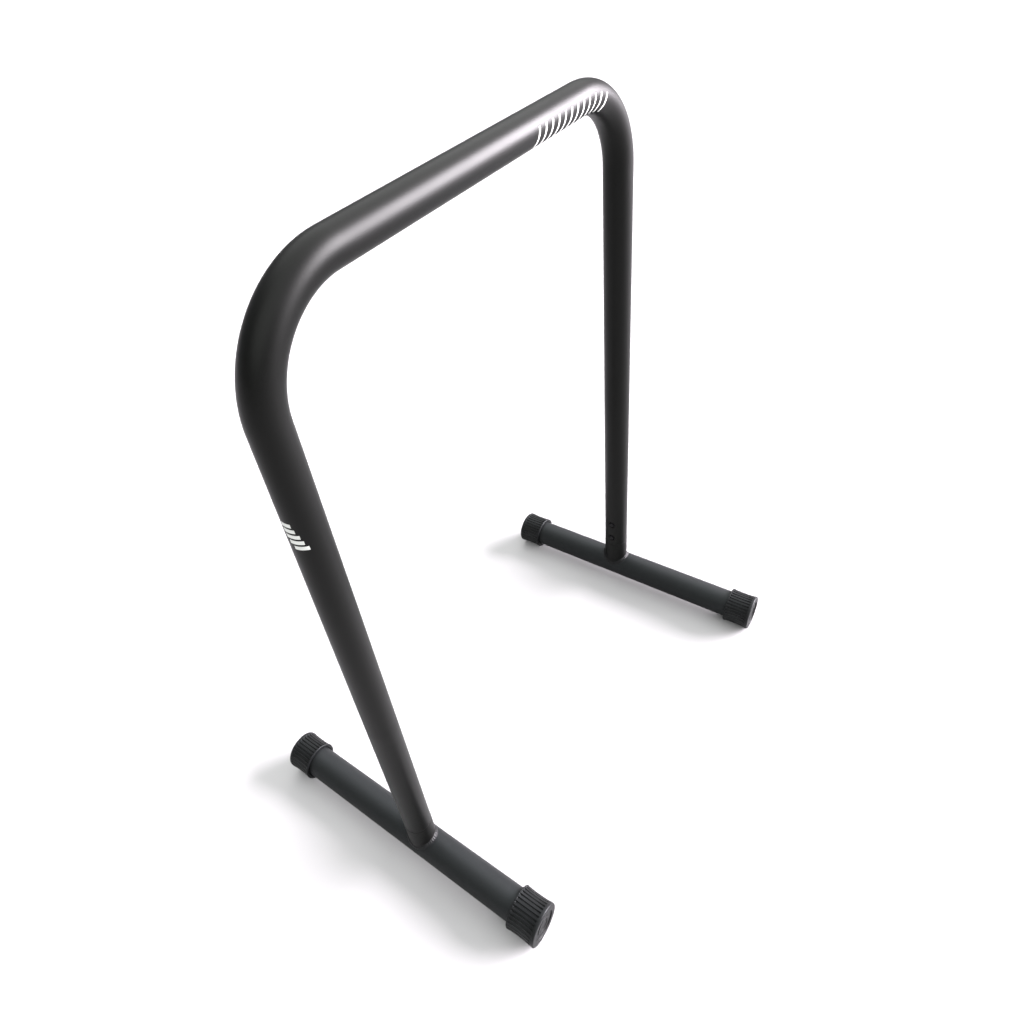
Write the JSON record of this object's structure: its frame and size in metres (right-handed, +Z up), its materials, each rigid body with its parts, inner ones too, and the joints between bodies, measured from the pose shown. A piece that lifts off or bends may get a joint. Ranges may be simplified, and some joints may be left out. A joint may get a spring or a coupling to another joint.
{
  "type": "dip bar",
  "caption": "Free-standing inverted-U dip bar on rubber-capped T feet, its legs held on the feet by spring snap buttons.",
  "frame": {"origin": "on the floor, under the middle of the bar", "axes": "+X along the bar from the left leg to the right leg, +Y to the back, +Z up"},
  "size_m": [0.6566, 0.5, 0.8765],
  "materials": {
    "bar_coat": "satin charcoal powder coat with a fine grain",
    "foot_coat": "matte black fine-textured powder coat",
    "post_coat": "thin black primer, scuffed where the leg slides",
    "cap_rubber": "matte moulded black rubber",
    "button_steel": "blackened steel, dull",
    "spring_steel": "tempered spring steel, satin",
    "white_print": "screen-printed white ink, matte"
  },
  "bodies": {
    "frame": {"bent_bar": "bar_coat", "left_foot_tube": "foot_coat", "left_post": "post_coat", "left_collar": "bar_coat", "left_weld_bead": "foot_coat", "left_front_cap": "cap_rubber", "left_back_cap": "cap_rubber", "left_lower_spring_clip": "spring_steel", "left_upper_spring_clip": "spring_steel", "right_foot_tube": "foot_coat", "right_post": "post_coat", "right_collar": "bar_coat", "right_weld_bead": "foot_coat", "right_front_cap": "cap_rubber", "right_back_cap": "cap_rubber", "right_lower_spring_clip": "spring_steel", "right_upper_spring_clip": "spring_steel"},
    "left_lower_button": {"left_lower_button": "button_steel"},
    "left_upper_button": {"left_upper_button": "button_steel"},
    "right_lower_button": {"right_lower_button": "button_steel"},
    "right_upper_button": {"right_upper_button": "button_steel"}
  },
  "joints": [
    {"name": "left_lower_press", "type": "slide", "parent": "frame", "child": "left_lower_button", "axis": [-1, 0, 0], "range_m": [0, 0.0045], "stiffness_N_per_m": 1500, "springref_m": -0.006, "deforming": ["left_lower_spring_clip"]},
    {"name": "left_upper_press", "type": "slide", "parent": "frame", "child": "left_upper_button", "axis": [-1, 0, 0], "range_m": [0, 0.0045], "stiffness_N_per_m": 1500, "springref_m": -0.006, "deforming": ["left_upper_spring_clip"]},
    {"name": "right_lower_press", "type": "slide", "parent": "frame", "child": "right_lower_button", "axis": [1, 0, 0], "range_m": [0, 0.0045], "stiffness_N_per_m": 1500, "springref_m": -0.006, "deforming": ["right_lower_spring_clip"]},
    {"name": "right_upper_press", "type": "slide", "parent": "frame", "child": "right_upper_button", "axis": [1, 0, 0], "range_m": [0, 0.0045], "stiffness_N_per_m": 1500, "springref_m": -0.006, "deforming": ["right_upper_spring_clip"]}
  ]
}
